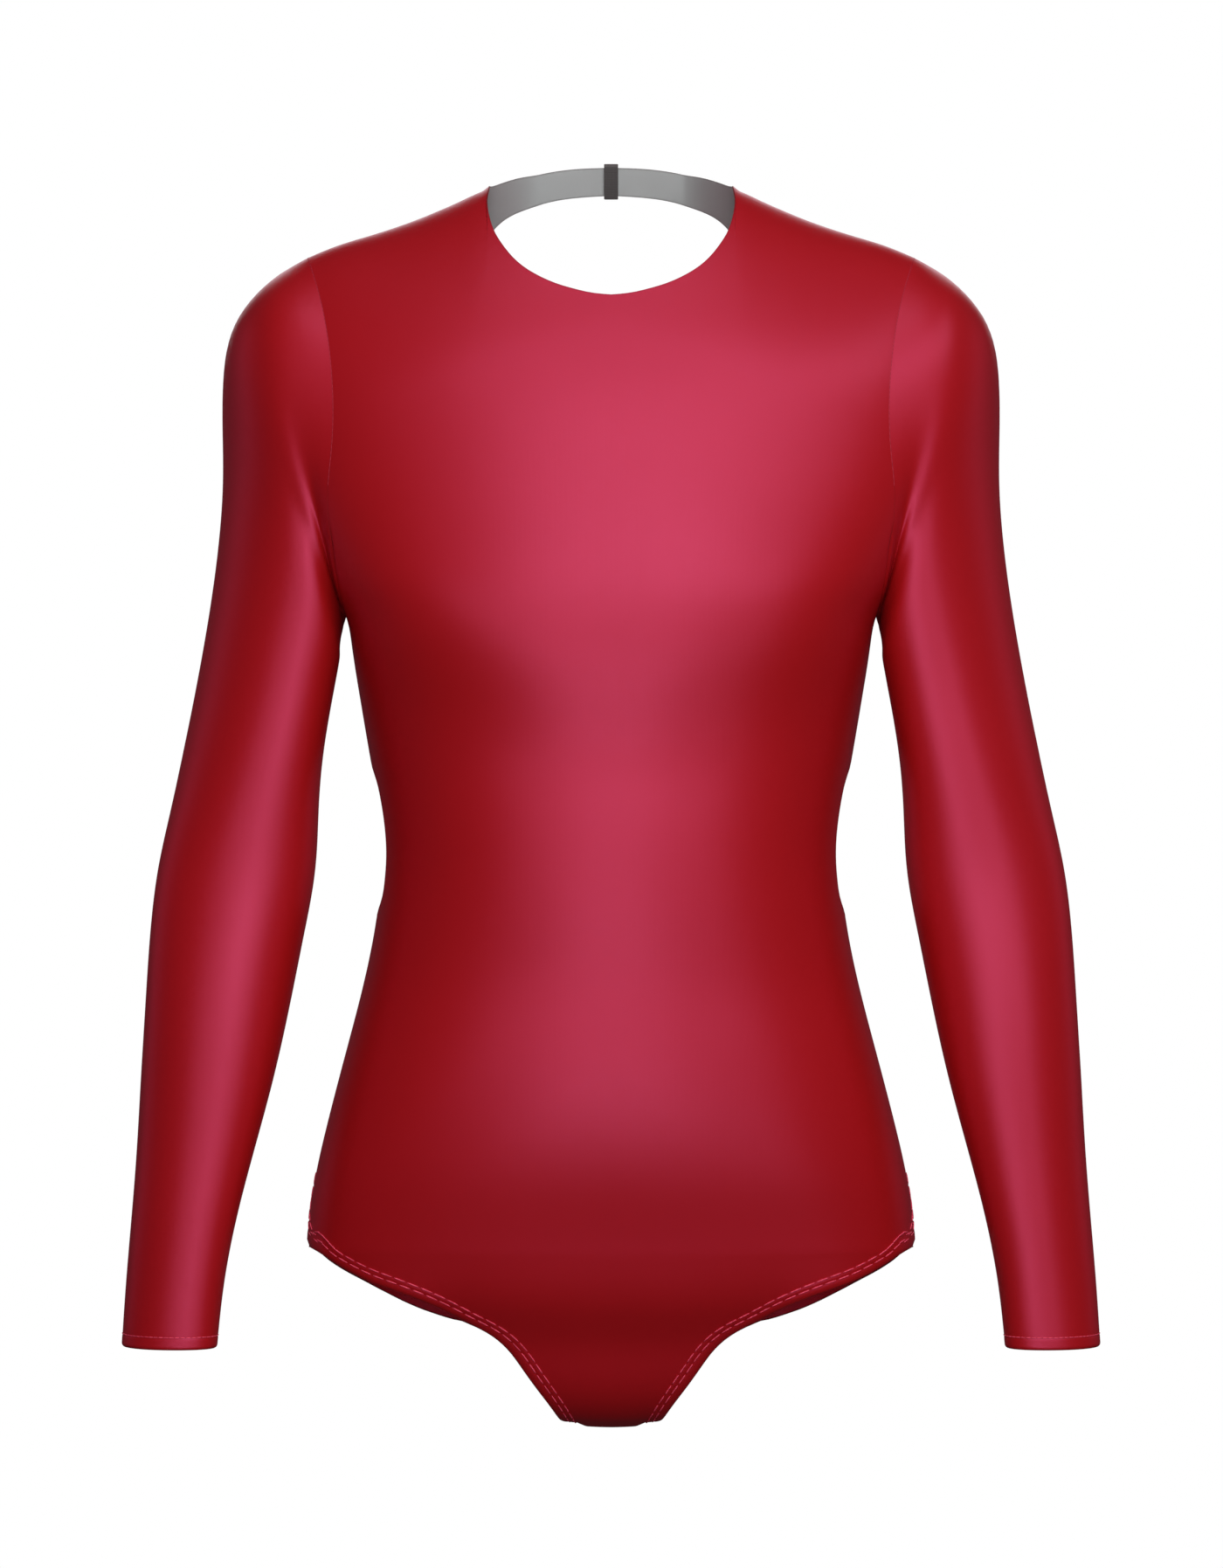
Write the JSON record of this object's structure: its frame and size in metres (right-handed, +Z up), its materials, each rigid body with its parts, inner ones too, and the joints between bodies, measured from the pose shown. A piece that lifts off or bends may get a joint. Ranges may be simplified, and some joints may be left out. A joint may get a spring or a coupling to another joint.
{
  "type": "leotard",
  "caption": "Long-sleeved red stretch leotard with a round neck, full brief legs and an open back held by a narrow nape strap.",
  "frame": {"origin": "between the shoulders, midway between the two shoulder seams and level with their middle", "axes": "+Z up towards the neck, -Y towards the front, +X towards the wearer's left arm"},
  "size_m": [0.522, 0.2293, 0.6846],
  "materials": {
    "stretch_cloth": "satin",
    "closing_tape": "matte"
  },
  "bodies": {
    "root": {"front_panel": "stretch_cloth", "seat_panel": "stretch_cloth", "upper_back_left": "stretch_cloth", "upper_back_right": "stretch_cloth", "sleeve_left": "stretch_cloth", "sleeve_right": "stretch_cloth", "closing_tape": "closing_tape"}
  },
  "joints": []
}
